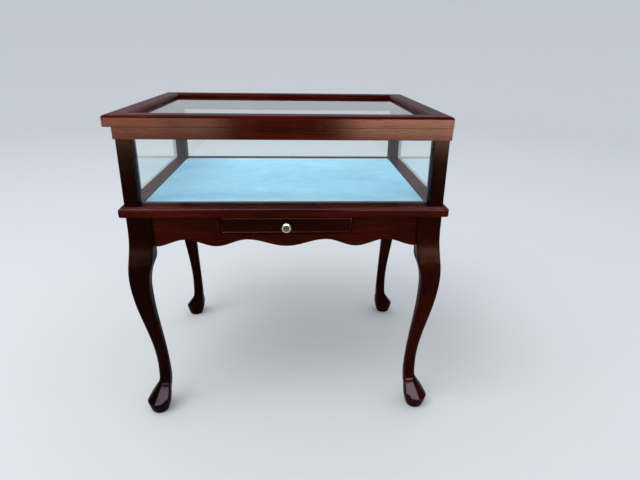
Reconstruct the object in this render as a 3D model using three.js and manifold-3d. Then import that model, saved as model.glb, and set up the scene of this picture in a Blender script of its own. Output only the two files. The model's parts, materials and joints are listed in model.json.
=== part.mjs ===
// A collectors' display table: a glazed case with a hinged glass lid, on a table stand with four bandsawn
// cabriole legs, scalloped aprons and one small drawer in front. Millimetres, +X right, +Y back, +Z up.
// The origin is on the floor, at the middle of the whole table's box.

import * as THREE from "three";
import { mergeVertices } from "three/addons/utils/BufferGeometryUtils.js";
import Module from "manifold-3d";

const wasm = await Module();
wasm.setup();

// Driving sizes of the whole table.
const caseWidth = 592; // across the outer faces of the posts, and of the leg blocks below them
const caseDepth = 450;
const standHeight = 450; // floor to the underside of the table frame
const glassHeight = 123; // table frame to top rails

// Clearances.
const seam = 0.2; // glue line between pieces that are joined
const slip = 0.3; // free play of glass in its groove, and of a loose panel
const overrun = 5; // how far a cutting shape runs past what it cuts

// The table frame: four mitred members with a stepped and rounded edge, rebated for the display board.
const frameOverhang = 9.5; // past the posts and the leg blocks
const frameThickness = 20;
const frameFace = 36; // a member's width, from its outer edge to the opening
const frameRound = 4;
const frameStep = 2; // drop from the flat face to the rounded edge
const boardLedge = 10; // how far the rebate's ledge runs in under the board
const boardRebate = 9;

// The display board and its velvet.
const boardGap = 3.5; // loose fit in the frame's opening
const boardThickness = 9.8;
const velvetThickness = 1.5;

// The glazed case.
const postSide = 27;
const paneInset = 8; // outer face of the glass behind the outer face of the post
const paneThickness = 3;
const grooveDepth = 4;
const railOverhang = 3; // the top rails' outer face past the posts
const railHeight = 21.5;
const railWidth = 30;

// The lid: four mitred rails, a pane in their rebate, and mitred stops that hold it from below.
const lidOverhang = 6; // past the top rails
const lidShift = 7; // the lid is hung this far to the left of the case's middle
const lidThickness = 20;
const lidGap = 0.5; // closed lid above the top rails
const lidRailWidth = 40;
const lidRound = 5;
const lidQuirk = 1; // small step between the flat and the ovolo on the inner edge
const lidOvolo = 5.5;
const lidRebateWidth = 9;
const lidRebateDepth = 12;
const lidPaneThickness = 3.8;
const stopRound = 4;

// The butt hinges at the back, which lie half under the lid's overhang.
const hingeLength = 50;
const hingePlate = 1.5;
const hingeLeafWidth = 16;
const hingeInset = 65; // outer end of a hinge from the case's side
const knuckleCount = 5;
const knuckleRadius = 3;
const knuckleBite = 0.8; // how far a knuckle reaches into the plane of its own plate
const pinRadius = 1.4;
const pinHeadRadius = 2.2;
const pinHeadLength = 1;
const pinPlay = 0.2;

// The cabriole legs. Offsets of the sawn faces are from the middle of the square block, outwards.
const blockSide = 45;
const blockLength = 62.5; // to just below the aprons
const shoulderDepth = 3.5; // step in at the bottom of the block's inner faces
const shoulderDrop = 3; // height of that step
const coveDrop = 90; // where the cove below it begins, below the top of the leg
const coveBend = 2.7; // the higher, the more suddenly the cove turns down to that step
const blockArris = 0.6; // rounding of the block's corners
const kneeSwell = 8.5; // knee past the block's outer face
const kneeDrop = 125; // knee below the top of the leg
const swellDrop = 35; // where the knee begins to swell, below the top of the leg
const kneeBack = 6.1; // inner face behind the block's middle, at its most forward
const kneeBackDrop = 155;
const ankleFront = 5.9; // outer face at the ankle
const ankleBack = 18; // inner face at the ankle
const ankleHeight = 86;
const ankleLength = 14;
const calfHeight = 130; // where the sections are roundest
const toeTop = 65; // where the slope of the toe would meet the ankle
const toeBend = 8; // how softly the toe runs into the ankle
const heelBack = 16.5;
const heelHeight = 45;
const padSetForward = 9; // axis of the turned pad, outwards from the block's middle on both axes
const padRadius = 17.2; // at the sole
const toeFallShare = 0.7; // how far the toe runs out for each length that it falls
const padFlareShare = 0.272; // how much the pad's radius grows for each length that it rises
const padWall = 32; // height of the part of the pad that bellies
const padBelly = 1.2; // how far it does
const calfRoundShare = 0.8; // corner radius as a share of half the section's side
const kneeRoundShare = 0.15; // the same share at the knee
const frontArrisShare = 0.75; // at the foot, on the outer corner
const sideArrisShare = 0.2; // on the corners beside it
const heelArrisShare = 0.3; // on the inner corner
const heelKneeShare = 0.85; // on the inner corner at the knee
const heelBlockShare = 0.6; // on the inner corner of the block

// The aprons.
const apronThickness = 18;
const apronSetback = 5; // behind the outer face of the leg blocks
const apronHeight = 62;
const scallopDepth = 14;
const middleHalfWave = 76; // front and back: from the middle low to the first peak
const flankHalfWaves = 3; // between that peak and the leg
const sidePeaks = 3;
const braceReach = 45; // corner brace along each apron, past the leg block
const braceHeight = 36;
const braceDrop = 5; // top of a brace below the table frame

// The drawer.
const drawerWidth = 249;
const drawerHeight = 31;
const drawerDepth = 300;
const drawerDrop = 4.3; // top of the drawer front below the table frame
const drawerGap = 1.2; // round the sides and the lower edge of the drawer front
const drawerFrontThickness = 16;
const drawerWall = 10;
const drawerSideHeight = 28;
const drawerSideInset = 1; // sides behind the ends of the front
const drawerBottomThickness = 4;
const drawerBottomRise = 3; // bottom board above the sides' lower edge
const drawerGroove = 4;
const beadWidth = 4;
const beadRise = 1.5;
const runnerReach = 12; // how far the ledge reaches in under a drawer side
const runnerLedge = 12; // thickness of that ledge
const guideWidth = 12;
const guideRise = 22; // guide above the ledge
const guidePlay = 0.7;
const stopWidth = 18;
const stopHeight = 12;
const stopPlay = 0.6;

// The turned brass knob.
const knobRadius = 9.5;
const knobProjection = 19;
const knobFoot = 5.5;
const knobNeck = 3.4;
const knobDish = 1.1;
const knobWidestShare = 0.72; // shares of the projection and of the radius that shape the head
const knobUnderRadiusShare = 0.75;
const knobUnderShare = 0.56;
const knobTurnShare = 0.62;
const knobFlatShare = 0.5;
const knobDishShare = 0.2;
const stemRadius = 2;
const stemLength = 13;
const stemPlay = 0.3;

// Fineness of curves.
const roundSegments = 4;
const beadSegments = 6;
const knuckleSegments = 16;
const knobSegments = 20;
const padSegments = 40;
const waveSegments = 6;
const quarterTurn = Math.PI / 2;

// Levels and half sizes that several pieces share.
const frameTop = standHeight + frameThickness;
const railBottom = frameTop + glassHeight;
const railTop = railBottom + railHeight;
const lidBottom = railTop + lidGap;
const frameWidthAll = caseWidth + 2 * frameOverhang;
const frameDepthAll = caseDepth + 2 * frameOverhang;
const lidWidth = caseWidth + 2 * (railOverhang + lidOverhang);
const lidDepth = caseDepth + 2 * (railOverhang + lidOverhang);
const legX = (caseWidth - blockSide) / 2;
const legY = (caseDepth - blockSide) / 2;
const apronInside = apronSetback + apronThickness; // inner face of an apron behind the block's outer face

// Materials.
const mahogany = new THREE.MeshStandardMaterial({ color: 0x4c1710, roughness: 0.3, metalness: 0 });
const drawerWood = new THREE.MeshStandardMaterial({ color: 0xb98f62, roughness: 0.6, metalness: 0 });
const clearGlass = new THREE.MeshStandardMaterial({
  color: 0xd6ebe6,
  roughness: 0.05,
  metalness: 0,
  transparent: true,
  opacity: 0.3,
});
const iceVelvet = new THREE.MeshStandardMaterial({ color: 0xcfe6ee, roughness: 0.95, metalness: 0 });
const brass = new THREE.MeshStandardMaterial({ color: 0xc9a24b, roughness: 0.3, metalness: 1 });

// A closed geometry as a solid for cutting and joining.
function solidOf(geometry) {
  const bare = geometry.index ? geometry.toNonIndexed() : geometry.clone();
  bare.deleteAttribute("normal");
  bare.deleteAttribute("uv");
  const merged = mergeVertices(bare);
  const vertProperties = merged.attributes.position.array;
  const triVerts = merged.index.array;
  return new wasm.Manifold(new wasm.Mesh({ numProp: 3, vertProperties, triVerts }));
}

// A solid back as a geometry.
function geometryOf(solid) {
  const skin = solid.getMesh();
  const geometry = new THREE.BufferGeometry();
  geometry.setAttribute("position", new THREE.BufferAttribute(skin.vertProperties, skin.numProp));
  geometry.setIndex(new THREE.BufferAttribute(skin.triVerts, 1));
  geometry.computeVertexNormals();
  return geometry;
}

// The first geometry with all the others taken out of it.
function cut(geometry, tools) {
  return geometryOf(tools.reduce((rest, tool) => rest.subtract(solidOf(tool)), solidOf(geometry)));
}

// Several geometries as one body.
function join(geometries) {
  const [first, ...rest] = geometries.map(solidOf);
  return geometryOf(rest.reduce((sum, next) => sum.add(next), first));
}

// A box between two corners.
function block(x0, x1, y0, y1, z0, z1) {
  const box = new THREE.BoxGeometry(x1 - x0, y1 - y0, z1 - z0);
  return box.translate((x0 + x1) / 2, (y0 + y1) / 2, (z0 + z1) / 2);
}

// A cylinder whose axis runs along X, between two places on it.
function barAlongX(radius, x0, x1) {
  const bar = new THREE.CylinderGeometry(radius, radius, x1 - x0, knuckleSegments);
  return bar.rotateZ(-quarterTurn).translate((x0 + x1) / 2, 0, 0);
}

function named(name, geometry, material) {
  const mesh = new THREE.Mesh(geometry, material);
  mesh.name = name;
  return mesh;
}

// Settings of a plain extrusion.
function extrusion(depth) {
  return { depth, bevelEnabled: false, curveSegments: roundSegments };
}

// A straight stick of one section. The shape's x stays x and its y becomes z; the stick runs from y0 to y1.
function stickAlongY(shape, y0, y1) {
  const stick = new THREE.ExtrudeGeometry(shape, extrusion(y1 - y0));
  return stick.rotateX(quarterTurn).translate(0, y1, 0);
}

// A mitred member. Its section's x runs inwards from the outer edge and its y runs up. The member lies
// along X with its outer edge on the X axis, and each end is cut back by as much as a point lies inwards.
function mitred(section, length) {
  const member = new THREE.ExtrudeGeometry(section, extrusion(length));
  const places = member.attributes.position;
  for (let i = 0; i < places.count; i++) {
    const inwards = places.getX(i);
    const reach = length / 2 - inwards - seam / 2;
    const along = places.getZ(i) > length / 2 ? reach : -reach;
    places.setXYZ(i, along, inwards, places.getY(i));
  }
  return member;
}

// The four sides, each with its turn in quarter turns and the way that its outer face looks.
const sides = {
  front: { turn: 0, x: 0, y: -1 },
  right: { turn: 1, x: 1, y: 0 },
  back: { turn: 2, x: 0, y: 1 },
  left: { turn: 3, x: -1, y: 0 },
};

// How long a side of a rectangle is.
function spanOf(side, width, depth) {
  return sides[side].x ? depth : width;
}

// Places a piece whose outer edge is on the local X axis at one side of a rectangle.
function placeAtSide(mesh, side, width, depth, level) {
  const { turn, x, y } = sides[side];
  mesh.rotation.z = turn * quarterTurn;
  mesh.position.set((x * width) / 2, (y * depth) / 2, level);
  return mesh;
}

const corners = {
  back_right: { turn: 0, x: 1, y: 1 },
  back_left: { turn: 1, x: -1, y: 1 },
  front_left: { turn: 2, x: -1, y: -1 },
  front_right: { turn: 3, x: 1, y: -1 },
};

// Places a piece that faces outwards along +X and +Y at one corner of a rectangle.
function placeAtCorner(mesh, corner, halfWidth, halfDepth, level) {
  const { turn, x, y } = corners[corner];
  mesh.rotation.z = turn * quarterTurn;
  mesh.position.set(x * halfWidth, y * halfDepth, level);
  return mesh;
}

function polygon(points) {
  return new THREE.Shape(points.map(([x, y]) => new THREE.Vector2(x, y)));
}

// Smooth step from 0 to 1, level at both ends.
function ease(share) {
  const t = THREE.MathUtils.clamp(share, 0, 1);
  return t * t * (3 - 2 * t);
}

// The value at a height on a curve that runs level through each [height, value] station.
function through(stations, height) {
  const after = stations.findIndex(([level]) => level >= height);
  if (after <= 0) return stations.at(after)[1];
  const [z0, a] = stations[after - 1];
  const [z1, b] = stations[after];
  return a + (b - a) * ease((height - z0) / (z1 - z0));
}

// The cabriole leg: sawn to one curve on its two outer faces and to another on its two inner faces, with
// the corners rounded by hand. The foot is then turned to a round pad, whose rim is crisp.

const half = blockSide / 2;
const blockBottom = standHeight - blockLength;
const shoulderHeight = blockBottom - shoulderDrop;
const coveTop = standHeight - coveDrop;
const kneeBackHeight = standHeight - kneeBackDrop;

// Outer sawn face: from the square block out over the knee, in to the ankle, and out along the toe.
function outerFace(z) {
  const above = toeTop - z;
  const toe = (toeFallShare * (above + Math.hypot(above, toeBend))) / 2;
  return toe + through(
    [
      [0, ankleFront],
      [ankleHeight + ankleLength, ankleFront],
      [standHeight - kneeDrop, half + kneeSwell],
      [standHeight - swellDrop, half],
      [standHeight, half],
    ],
    z,
  );
}

// Inner sawn face: heel, long hollow, a cove, and a small step out to the square block.
function innerFace(z) {
  if (z < kneeBackHeight) {
    return -through(
      [
        [0, heelBack],
        [heelHeight, heelBack],
        [ankleHeight, ankleBack],
        [kneeBackHeight, kneeBack],
      ],
      z,
    );
  }
  const stepped = half - shoulderDepth;
  const step = THREE.MathUtils.clamp((z - shoulderHeight) / shoulderDrop, 0, 1);
  const rise = Math.min(1, (z - kneeBackHeight) / (coveTop - kneeBackHeight));
  return -kneeBack - (stepped - kneeBack) * rise ** coveBend - shoulderDepth * step;
}

// A corner's radius, from its shares at the foot, at the knee and at the block.
function cornerRadius(z, side, [foot, knee, top]) {
  const share = through(
    [
      [0, foot],
      [heelHeight, foot],
      [calfHeight, calfRoundShare],
      [kneeBackHeight, knee],
      [blockBottom, top],
      [standHeight, top],
    ],
    z,
  );
  return blockArris + (side - blockArris) * share;
}

// One section of the leg, anticlockwise from the outer corner.
function legSection(z) {
  const out = outerFace(z);
  const back = innerFace(z);
  const side = (out - back) / 2;
  const middle = (out + back) / 2;
  const outer = [frontArrisShare, kneeRoundShare, 0];
  const beside = [sideArrisShare, kneeRoundShare, 0];
  const inner = [heelArrisShare, heelKneeShare, heelBlockShare];
  return [outer, beside, inner, beside].flatMap((shares, quadrant) => {
    const radius = cornerRadius(z, side, shares);
    const facing = (quadrant + 1 / 2) * quarterTurn;
    const x = middle + Math.sign(Math.cos(facing)) * (side - radius);
    const y = middle + Math.sign(Math.sin(facing)) * (side - radius);
    return Array.from({ length: roundSegments + 1 }, (_, i) => {
      const angle = (quadrant + i / roundSegments) * quarterTurn;
      return [x + radius * Math.cos(angle), y + radius * Math.sin(angle)];
    });
  });
}

// Joins sections of equal count into one closed skin, from the lowest up.
function loft(rings) {
  const count = rings[0].points.length;
  const places = rings.flatMap(({ z, points }) => points.flatMap(([x, y]) => [x, y, z]));
  const faces = [];
  for (let r = 0; r + 1 < rings.length; r++) {
    for (let i = 0; i < count; i++) {
      const a = r * count + i;
      const b = r * count + ((i + 1) % count);
      faces.push(a, b, b + count, a, b + count, a + count);
    }
  }
  const top = (rings.length - 1) * count;
  for (let i = 1; i + 1 < count; i++) faces.push(0, i + 1, i, top, top + i, top + i + 1);
  const skin = new THREE.BufferGeometry();
  skin.setAttribute("position", new THREE.Float32BufferAttribute(places, 3));
  skin.setIndex(faces);
  skin.computeVertexNormals();
  return skin;
}

// Heights of the sections: each stretch of the leg gets as many as its curve needs.
function legHeights() {
  const stretches = [
    [0, heelHeight, 4],
    [heelHeight, ankleHeight, 9],
    [ankleHeight, kneeBackHeight, 10],
    [kneeBackHeight, coveTop, 7],
    [coveTop, shoulderHeight, 2],
    [shoulderHeight, blockBottom, 1],
    [blockBottom, standHeight - swellDrop, 2],
    [standHeight - swellDrop, standHeight - seam, 1],
  ];
  const rise = ([from, to, steps]) => {
    const step = (to - from) / steps;
    return Array.from({ length: steps }, (_, i) => from + step * (i + 1));
  };
  return [0, ...stretches.flatMap(rise)];
}

// The pad, turned with a wall that bellies a little, and running on upwards well clear of the leg.
function padGeometry() {
  const profile = new THREE.Path();
  profile.moveTo(0, 0);
  profile.lineTo(padRadius, 0);
  const wallTop = padRadius + padFlareShare * padWall;
  const bellied = (padRadius + wallTop) / 2 + 2 * padBelly;
  profile.quadraticCurveTo(bellied, padWall / 2, wallTop, padWall);
  profile.lineTo(padRadius + padFlareShare * standHeight, standHeight);
  profile.lineTo(0, standHeight);
  const turned = new THREE.LatheGeometry(profile.getPoints(roundSegments), padSegments);
  return turned.rotateX(quarterTurn).translate(padSetForward, padSetForward, 0);
}

function makeLegs(group) {
  const sawn = loft(legHeights().map((z) => ({ z, points: legSection(z) })));
  const leg = geometryOf(solidOf(sawn).intersect(solidOf(padGeometry())));
  for (const corner of Object.keys(corners)) {
    group.add(placeAtCorner(named("leg_" + corner, leg, mahogany), corner, legX, legY, 0));
  }
}

// The aprons.

// Lower edge of an apron, as half waves between lows and peaks, each given by its length.
function scallops(shape, start, halfWaves) {
  let x = start;
  halfWaves.forEach((length, index) => {
    for (let i = 1; i <= waveSegments; i++) {
      const wave = (1 - Math.cos((Math.PI * i) / waveSegments)) / 2;
      shape.lineTo(x + (length * i) / waveSegments, scallopDepth * (index % 2 ? 1 - wave : wave));
    }
    x += length;
  });
}

function apronGeometry(length, halfWaves, opening) {
  const top = apronHeight - seam;
  const shape = new THREE.Shape();
  shape.moveTo(-length / 2, 0);
  scallops(shape, -length / 2, halfWaves);
  shape.lineTo(length / 2, top);
  if (opening) {
    shape.lineTo(opening.width / 2, top);
    shape.lineTo(opening.width / 2, apronHeight - opening.height);
    shape.lineTo(-opening.width / 2, apronHeight - opening.height);
    shape.lineTo(-opening.width / 2, top);
  }
  shape.lineTo(-length / 2, top);
  return stickAlongY(shape, 0, apronThickness);
}

function makeAprons(group) {
  const long = caseWidth - 2 * blockSide - 2 * seam;
  const short = caseDepth - 2 * blockSide - 2 * seam;
  const flank = Array(flankHalfWaves).fill((long / 2 - middleHalfWave) / flankHalfWaves);
  const longWaves = [...flank, middleHalfWave, middleHalfWave, ...flank];
  const shortWaves = Array(2 * sidePeaks).fill(short / (2 * sidePeaks));
  const opening = { width: drawerWidth + 2 * drawerGap, height: drawerDrop + drawerHeight + drawerGap };
  const width = caseWidth - 2 * apronSetback;
  const depth = caseDepth - 2 * apronSetback;
  const level = standHeight - apronHeight;
  const shapes = {
    front: apronGeometry(long, longWaves, opening),
    back: apronGeometry(long, longWaves),
    left: apronGeometry(short, shortWaves),
    right: apronGeometry(short, shortWaves),
  };
  for (const side of Object.keys(sides)) {
    group.add(placeAtSide(named("apron_" + side, shapes[side], mahogany), side, width, depth, level));
  }
}

// A brace fits round the inner corner of a leg block and lies against both aprons.
function makeBraces(group) {
  const legFace = -half - seam;
  const apronFace = half - apronInside - seam;
  const far = -half - braceReach;
  const plan = polygon([
    [legFace, apronFace],
    [far, apronFace],
    [apronFace, far],
    [apronFace, legFace],
    [legFace, legFace],
  ]);
  const brace = new THREE.ExtrudeGeometry(plan, { depth: braceHeight, bevelEnabled: false });
  const level = standHeight - braceDrop - braceHeight;
  for (const corner of Object.keys(corners)) {
    group.add(placeAtCorner(named("corner_brace_" + corner, brace, drawerWood), corner, legX, legY, level));
  }
}

// The table frame, with a groove for the panes on its upper face.
function makeTableFrame(group) {
  const round = frameRound;
  const shoulder = frameThickness - frameStep;
  const groove = frameOverhang + paneInset - slip;
  const grooveEnd = groove + paneThickness + 2 * slip;
  const section = new THREE.Shape();
  section.moveTo(round, 0);
  section.lineTo(frameFace + boardLedge, 0);
  section.lineTo(frameFace + boardLedge, frameThickness - boardRebate);
  section.lineTo(frameFace, frameThickness - boardRebate);
  section.lineTo(frameFace, frameThickness);
  section.lineTo(grooveEnd, frameThickness);
  section.lineTo(grooveEnd, frameThickness - grooveDepth);
  section.lineTo(groove, frameThickness - grooveDepth);
  section.lineTo(groove, frameThickness);
  section.lineTo(round, frameThickness);
  section.lineTo(round, shoulder);
  section.absarc(round, shoulder - round, round, quarterTurn, 2 * quarterTurn, false);
  section.absarc(round, round, round, 2 * quarterTurn, 3 * quarterTurn, false);
  for (const side of Object.keys(sides)) {
    const member = mitred(section, spanOf(side, frameWidthAll, frameDepthAll));
    const mesh = named("table_frame_" + side, member, mahogany);
    group.add(placeAtSide(mesh, side, frameWidthAll, frameDepthAll, standHeight));
  }
}

function makeDisplayFloor(group) {
  const x = frameWidthAll / 2 - frameFace - boardGap;
  const y = frameDepthAll / 2 - frameFace - boardGap;
  const ledge = frameTop - boardRebate + seam;
  const boardTop = ledge + boardThickness;
  group.add(named("display_board", block(-x, x, -y, y, ledge, boardTop), drawerWood));
  const velvetX = x - slip;
  const velvetY = y - slip;
  const velvetFloor = boardTop + slip;
  const pile = block(-velvetX, velvetX, -velvetY, velvetY, velvetFloor, velvetFloor + velvetThickness);
  group.add(named("velvet_cover", pile, iceVelvet));
}

// A post, with its outer corner at the origin and its body towards -X and -Y, grooved for two panes.
function makePosts(group) {
  const far = -postSide;
  const outer = -paneInset + slip;
  const inner = -paneInset - paneThickness - slip;
  const floor = far + grooveDepth;
  const plan = polygon([
    [0, 0],
    [far, 0],
    [far, outer],
    [floor, outer],
    [floor, inner],
    [far, inner],
    [far, far],
    [inner, far],
    [inner, floor],
    [outer, floor],
    [outer, far],
    [0, far],
  ]);
  const post = new THREE.ExtrudeGeometry(plan, { depth: glassHeight - 2 * seam, bevelEnabled: false });
  for (const corner of Object.keys(corners)) {
    const mesh = named("post_" + corner, post, mahogany);
    group.add(placeAtCorner(mesh, corner, caseWidth / 2, caseDepth / 2, frameTop + seam));
  }
}

function makePanes(group) {
  const rise = glassHeight + 2 * (grooveDepth - slip);
  const level = frameTop - grooveDepth + slip;
  for (const side of Object.keys(sides)) {
    const length = spanOf(side, caseWidth, caseDepth) - 2 * (postSide - grooveDepth + slip);
    const pane = block(-length / 2, length / 2, paneInset, paneInset + paneThickness, 0, rise);
    group.add(placeAtSide(named("pane_" + side, pane, clearGlass), side, caseWidth, caseDepth, level));
  }
}

// The top rails. The back one is let in for the hinges' leaves.
function makeTopRails(group) {
  const groove = railOverhang + paneInset - slip;
  const grooveEnd = groove + paneThickness + 2 * slip;
  const section = polygon([
    [0, 0],
    [groove, 0],
    [groove, grooveDepth],
    [grooveEnd, grooveDepth],
    [grooveEnd, 0],
    [railWidth, 0],
    [railWidth, railHeight],
    [0, railHeight],
  ]);
  const width = caseWidth + 2 * railOverhang;
  const depth = caseDepth + 2 * railOverhang;
  const reach = hingeLength / 2 + slip;
  const bed = hingeAxisDrop - hingeLeafWidth - slip;
  const mortises = hingePlaces.map((x) =>
    block(-x - reach, -x + reach, -overrun, hingePlate + seam, railHeight + bed, railHeight + overrun),
  );
  for (const side of Object.keys(sides)) {
    const plain = mitred(section, spanOf(side, width, depth));
    const rail = side === "back" ? cut(plain, mortises) : plain;
    group.add(placeAtSide(named("top_rail_" + side, rail, mahogany), side, width, depth, railBottom));
  }
}

// The lid.

const lidMiddle = -lidShift;
const rebateEdge = lidRailWidth - lidRebateWidth; // outer edge of the pane's rebate, from the lid's edge

function makeLidRails(group) {
  const ovoloEnd = lidThickness - lidQuirk - lidOvolo;
  const section = new THREE.Shape();
  section.moveTo(0, 0);
  section.lineTo(rebateEdge, 0);
  section.lineTo(rebateEdge, lidRebateDepth);
  section.lineTo(lidRailWidth, lidRebateDepth);
  section.lineTo(lidRailWidth, ovoloEnd);
  section.absarc(lidRailWidth - lidOvolo, ovoloEnd, lidOvolo, 0, quarterTurn, false);
  section.lineTo(lidRailWidth - lidOvolo, lidThickness);
  section.absarc(lidRound, lidThickness - lidRound, lidRound, quarterTurn, 2 * quarterTurn, false);
  const reach = hingeLength / 2 + slip;
  const bed = lidDepth / 2 - hingeAxisY + hingeLeafWidth + slip;
  const mortises = hingePlaces.map((x) =>
    block(lidMiddle - x - reach, lidMiddle - x + reach, -overrun, bed, -overrun, hingePlate + seam),
  );
  for (const side of Object.keys(sides)) {
    const plain = mitred(section, spanOf(side, lidWidth, lidDepth));
    const rail = side === "back" ? cut(plain, mortises) : plain;
    const mesh = named("lid_rail_" + side, rail, mahogany);
    group.add(placeAtSide(mesh, side, lidWidth, lidDepth, lidBottom));
    mesh.position.x += lidMiddle;
  }
}

// The lid's pane, and the stops below it.
function makeLidGlazing(group) {
  const width = lidWidth - 2 * rebateEdge - 2 * slip;
  const depth = lidDepth - 2 * rebateEdge - 2 * slip;
  const paneTop = lidBottom + lidRebateDepth - seam;
  const paneBottom = paneTop - lidPaneThickness;
  const pane = block(-width / 2, width / 2, -depth / 2, depth / 2, paneBottom, paneTop);
  const glass = named("lid_pane", pane, clearGlass);
  glass.position.x = lidMiddle;
  group.add(glass);
  const rise = paneBottom - lidBottom - 2 * seam;
  const face = lidRebateWidth - slip;
  const section = new THREE.Shape();
  section.moveTo(0, 0);
  section.absarc(face - stopRound, stopRound, stopRound, 3 * quarterTurn, 4 * quarterTurn, false);
  section.lineTo(face, rise);
  section.lineTo(0, rise);
  for (const side of Object.keys(sides)) {
    const stop = mitred(section, spanOf(side, width, depth));
    const mesh = named("glass_stop_" + side, stop, mahogany);
    group.add(placeAtSide(mesh, side, width, depth, lidBottom + seam));
    mesh.position.x += lidMiddle;
  }
}

// The hinges. Their origin is on the pin's axis; the case's leaf hangs down, the lid's leaf points forwards.

const hingePlaces = [-1, 1].map((hand) => hand * (caseWidth / 2 - hingeInset - hingeLength / 2));
const pinOffset = knuckleRadius - knuckleBite; // from the pin's axis to the face that a leaf is let into
const hingeAxisY = caseDepth / 2 + railOverhang + pinOffset;
const hingeAxisZ = lidBottom - pinOffset;
const hingeAxisDrop = hingeAxisZ - railTop;

function leafGeometry(plate, own) {
  const step = hingeLength / knuckleCount;
  const start = -hingeLength / 2;
  const knuckles = [];
  const clearings = [];
  for (let i = 0; i < knuckleCount; i++) {
    const from = start + i * step;
    if (i % 2 === own) knuckles.push(barAlongX(knuckleRadius, from + seam, from + step - seam));
    else clearings.push(barAlongX(knuckleRadius + slip, from - seam, from + step + seam));
  }
  const bore = barAlongX(pinRadius + pinPlay, start - overrun, -start + overrun);
  return cut(join([cut(plate, clearings), ...knuckles]), [bore]);
}

function pinGeometry() {
  const end = hingeLength / 2 + seam;
  const heads = [-1, 1].map((hand) => {
    const places = [hand * end, hand * (end + pinHeadLength)].sort((a, b) => a - b);
    return barAlongX(pinHeadRadius, ...places);
  });
  return join([barAlongX(pinRadius, -end - pinHeadLength / 2, end + pinHeadLength / 2), ...heads]);
}

function makeHinges(group) {
  const reach = hingeLength / 2;
  const casePlate = block(-reach, reach, -pinOffset - hingePlate, -pinOffset, -hingeLeafWidth, 0);
  const lidPlate = block(-reach, reach, -hingeLeafWidth, 0, pinOffset, pinOffset + hingePlate);
  const pieces = [
    ["case_leaf", leafGeometry(casePlate, 0)],
    ["lid_leaf", leafGeometry(lidPlate, 1)],
    ["pin", pinGeometry()],
  ];
  hingePlaces.forEach((x, i) => {
    for (const [piece, geometry] of pieces) {
      const mesh = named("hinge_" + (i ? "right_" : "left_") + piece, geometry, brass);
      mesh.position.set(x, hingeAxisY, hingeAxisZ);
      group.add(mesh);
    }
  });
}

// The drawer.

const drawerTop = standHeight - drawerDrop;
const drawerFloor = drawerTop - drawerHeight;
const drawerMiddle = (drawerTop + drawerFloor) / 2;
const apronFaceY = -(caseDepth / 2 - apronSetback);
const frontBackY = apronFaceY + drawerFrontThickness;
const drawerRearY = apronFaceY + drawerDepth;
const sideOuter = drawerWidth / 2 - drawerSideInset;
const sideInner = sideOuter - drawerWall;
const sideFloor = drawerFloor + drawerSideInset;
const bottomLevel = sideFloor + drawerBottomRise;
const grooveTop = bottomLevel + drawerBottomThickness + slip;

// The front: a board with a rounded bead round its face, grooved for the bottom and bored for the knob.
function drawerFrontGeometry() {
  const bead = beadWidth / 2;
  const rectangle = (inset) => {
    const x = drawerWidth / 2 - inset;
    const z = drawerHeight / 2 - inset;
    return [
      [-x, -z],
      [x, -z],
      [x, z],
      [-x, z],
    ];
  };
  const rings = [{ z: -drawerFrontThickness, points: rectangle(0) }];
  for (let i = 0; i <= beadSegments; i++) {
    const angle = (Math.PI * i) / beadSegments;
    rings.push({ z: beadRise * Math.sin(angle), points: rectangle(bead - bead * Math.cos(angle)) });
  }
  const board = loft(rings).rotateX(quarterTurn).translate(0, apronFaceY, drawerMiddle);
  const reach = sideInner + drawerGroove;
  const grooveFront = frontBackY - drawerGroove;
  const groove = block(-reach, reach, grooveFront, frontBackY + overrun, bottomLevel - slip, grooveTop);
  const boreRadius = stemRadius + stemPlay;
  const boreLength = 2 * (drawerFrontThickness + overrun);
  const bore = new THREE.CylinderGeometry(boreRadius, boreRadius, boreLength, knuckleSegments);
  return cut(board, [groove, bore.translate(0, apronFaceY, drawerMiddle)]);
}

function drawerSideGeometry(hand) {
  const top = sideFloor + drawerSideHeight;
  const section = polygon([
    [hand * sideOuter, sideFloor],
    [hand * sideOuter, top],
    [hand * sideInner, top],
    [hand * sideInner, grooveTop],
    [hand * (sideInner + drawerGroove), grooveTop],
    [hand * (sideInner + drawerGroove), bottomLevel - slip],
    [hand * sideInner, bottomLevel - slip],
    [hand * sideInner, sideFloor],
  ]);
  return stickAlongY(section, frontBackY + seam, drawerRearY);
}

// The knob, turned about its axis, which points forwards out of the drawer.
function knobGeometry() {
  const widestAt = knobProjection * knobWidestShare;
  const flat = knobRadius * knobFlatShare;
  const profile = new THREE.Path();
  profile.moveTo(0, -stemLength);
  profile.lineTo(stemRadius, -stemLength);
  profile.lineTo(stemRadius, seam);
  profile.lineTo(knobFoot, seam);
  profile.lineTo(knobFoot, knobDish);
  profile.quadraticCurveTo(knobNeck, knobDish, knobNeck, knobFoot);
  const under = knobProjection * knobUnderShare;
  profile.quadraticCurveTo(knobNeck, widestAt / 2, knobRadius * knobUnderRadiusShare, under);
  profile.quadraticCurveTo(knobRadius, knobProjection * knobTurnShare, knobRadius, widestAt);
  profile.quadraticCurveTo(knobRadius, knobProjection, flat, knobProjection);
  const dishFloor = knobProjection - knobDish;
  profile.quadraticCurveTo(knobRadius * knobDishShare, dishFloor, 0, dishFloor);
  return new THREE.LatheGeometry(profile.getPoints(roundSegments), knobSegments);
}

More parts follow.
